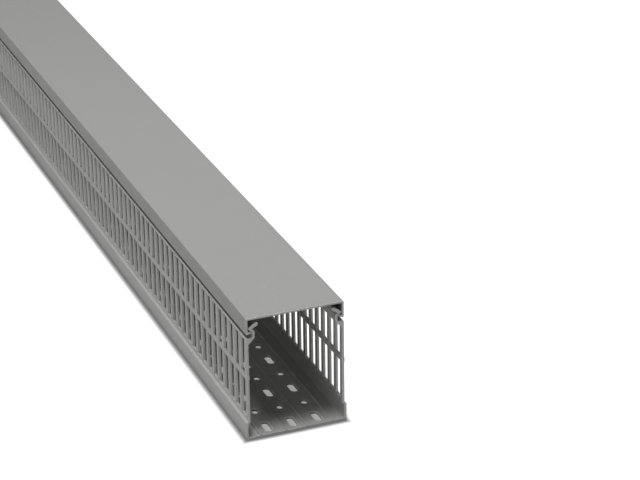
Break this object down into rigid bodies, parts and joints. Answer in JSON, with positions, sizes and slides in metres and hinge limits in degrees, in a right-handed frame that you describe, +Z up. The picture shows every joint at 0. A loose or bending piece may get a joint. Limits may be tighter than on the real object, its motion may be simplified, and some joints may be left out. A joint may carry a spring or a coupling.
{
  "type": "slotted wire duct",
  "caption": "Slotted plastic wire duct: an open trough with windowed side walls and fixing holes in its base, closed by a clip-on cover that slides along it.",
  "frame": {"origin": "middle of the underside of the base", "axes": "+Z up through the cover, +Y along the duct away from the end that the picture shows, +X across it"},
  "size_m": [0.08, 1, 0.1],
  "materials": {
    "trough_plastic": "smooth matt extruded PVC, stone grey",
    "cover_plastic": "smooth matt extruded PVC, stone grey"
  },
  "bodies": {
    "trough": {"duct_trough": "trough_plastic"},
    "cover": {"cover": "cover_plastic"}
  },
  "joints": [
    {"name": "cover_slide", "type": "slide", "parent": "trough", "child": "cover", "axis": [0, 1, 0], "range_m": [0, 0.9]}
  ]
}
